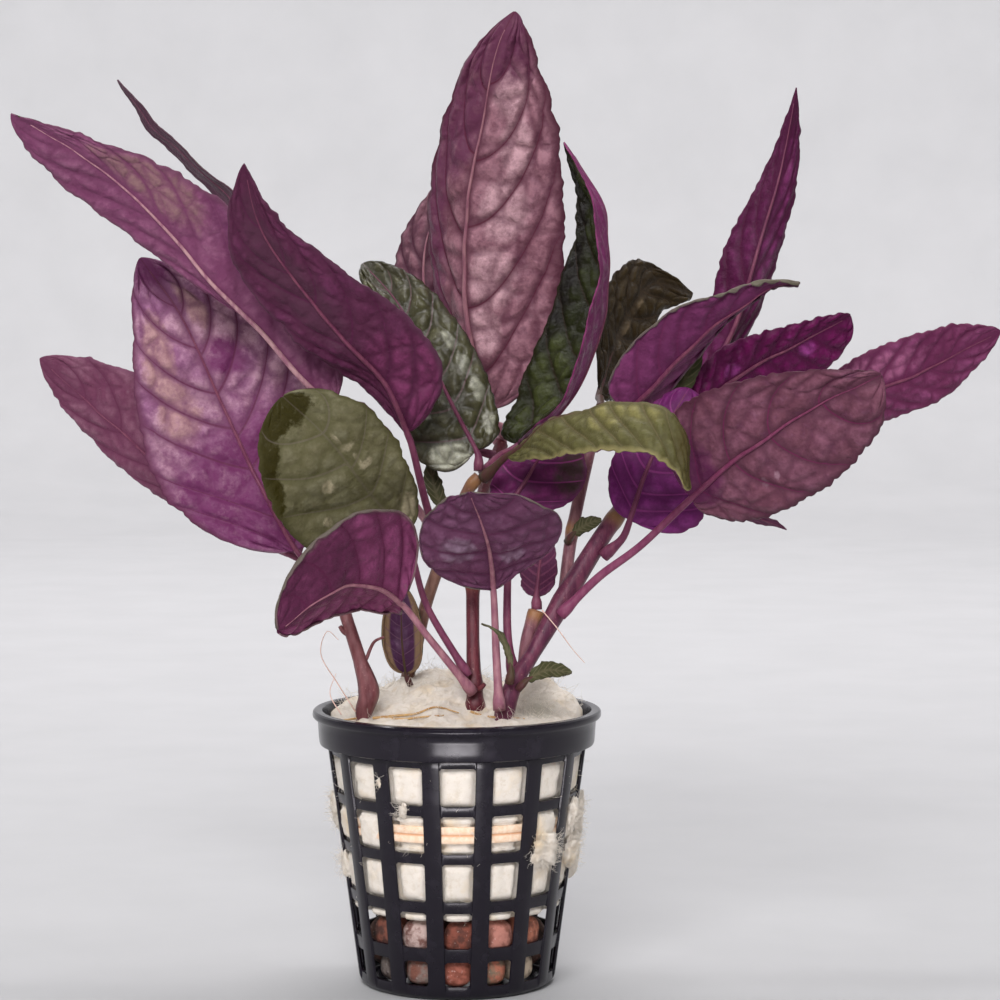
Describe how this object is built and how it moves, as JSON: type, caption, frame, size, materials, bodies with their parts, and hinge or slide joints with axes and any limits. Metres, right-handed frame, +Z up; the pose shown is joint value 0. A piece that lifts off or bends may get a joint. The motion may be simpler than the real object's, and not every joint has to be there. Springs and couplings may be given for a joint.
{
  "type": "potted red flame ivy",
  "caption": "Aquarium plant with pointed purple, mauve and olive-green leaves on reddish stems, rooted in cream mineral wool over clay pebbles in a black net pot.",
  "frame": {"origin": "centre of the net pot's flat base, on the surface it stands on", "axes": "+Z up, -Y towards the front as pictured, +X to the right as pictured"},
  "size_m": [0.18, 0.0842, 0.1726],
  "materials": {
    "net_pot": "black moulded plastic, satin, with a faint blue-violet tint",
    "wool_plug": "cream mineral wool, matt and fibrous, with pale yellow stains",
    "tie_band": "matt peach band",
    "clay_pebble": "porous fired clay, brown to salmon, matt",
    "stem": "fleshy dark red stem, slightly glossy, with orange-brown nodes",
    "leaf_purple": "deep purple underside, satin, with pinkish raised veins",
    "leaf_mauve": "pinkish-mauve puckered blade with purple veins, satin",
    "leaf_green": "olive to grey-green upper side, semi-gloss",
    "leaf_olive": "dark olive, satin"
  },
  "bodies": {
    "root": {"net_pot": "net_pot", "wool_plug": "wool_plug", "tie_band": "tie_band", "clay_pebble_1": "clay_pebble", "clay_pebble_2": "clay_pebble", "clay_pebble_3": "clay_pebble", "clay_pebble_4": "clay_pebble", "clay_pebble_5": "clay_pebble", "clay_pebble_6": "clay_pebble", "clay_pebble_7": "clay_pebble", "clay_pebble_8": "clay_pebble", "clay_pebble_9": "clay_pebble", "clay_pebble_10": "clay_pebble", "clay_pebble_11": "clay_pebble", "clay_pebble_12": "clay_pebble", "clay_pebble_13": "clay_pebble", "clay_pebble_14": "clay_pebble", "clay_pebble_15": "clay_pebble", "stem_left": "stem", "stem_olive": "stem", "stem_tall": "stem", "stem_short": "stem", "stem_right_main": "stem", "stem_right_branch": "stem", "leaf_left_broad": "leaf_mauve", "leaf_far_left": "leaf_purple", "leaf_left_spear": "leaf_purple", "leaf_left_narrow": "leaf_purple", "leaf_left_inner": "leaf_purple", "leaf_green_left": "leaf_green", "leaf_front_left": "leaf_purple", "leaf_folded_low": "leaf_olive", "leaf_green_hidden": "leaf_green", "leaf_green_glossy": "leaf_green", "leaf_front_centre": "leaf_purple", "leaf_centre_tall": "leaf_mauve", "leaf_centre_back": "leaf_mauve", "leaf_centre_folded": "leaf_green", "leaf_back_olive": "leaf_olive", "leaf_centre_low": "leaf_purple", "leaf_green_arching": "leaf_green", "leaf_right_spear": "leaf_purple", "leaf_right_upper": "leaf_purple", "leaf_right_blunt": "leaf_purple", "leaf_far_right": "leaf_purple", "leaf_front_right": "leaf_mauve", "leaf_under_arch": "leaf_purple", "leaf_right_tip": "leaf_purple", "leaf_right_strip": "leaf_olive", "leaflet_right_stem": "leaf_olive", "leaflet_base_olive": "leaf_olive", "leaflet_base_narrow": "leaf_green", "leaflet_sheath": "leaf_purple"}
  },
  "joints": []
}
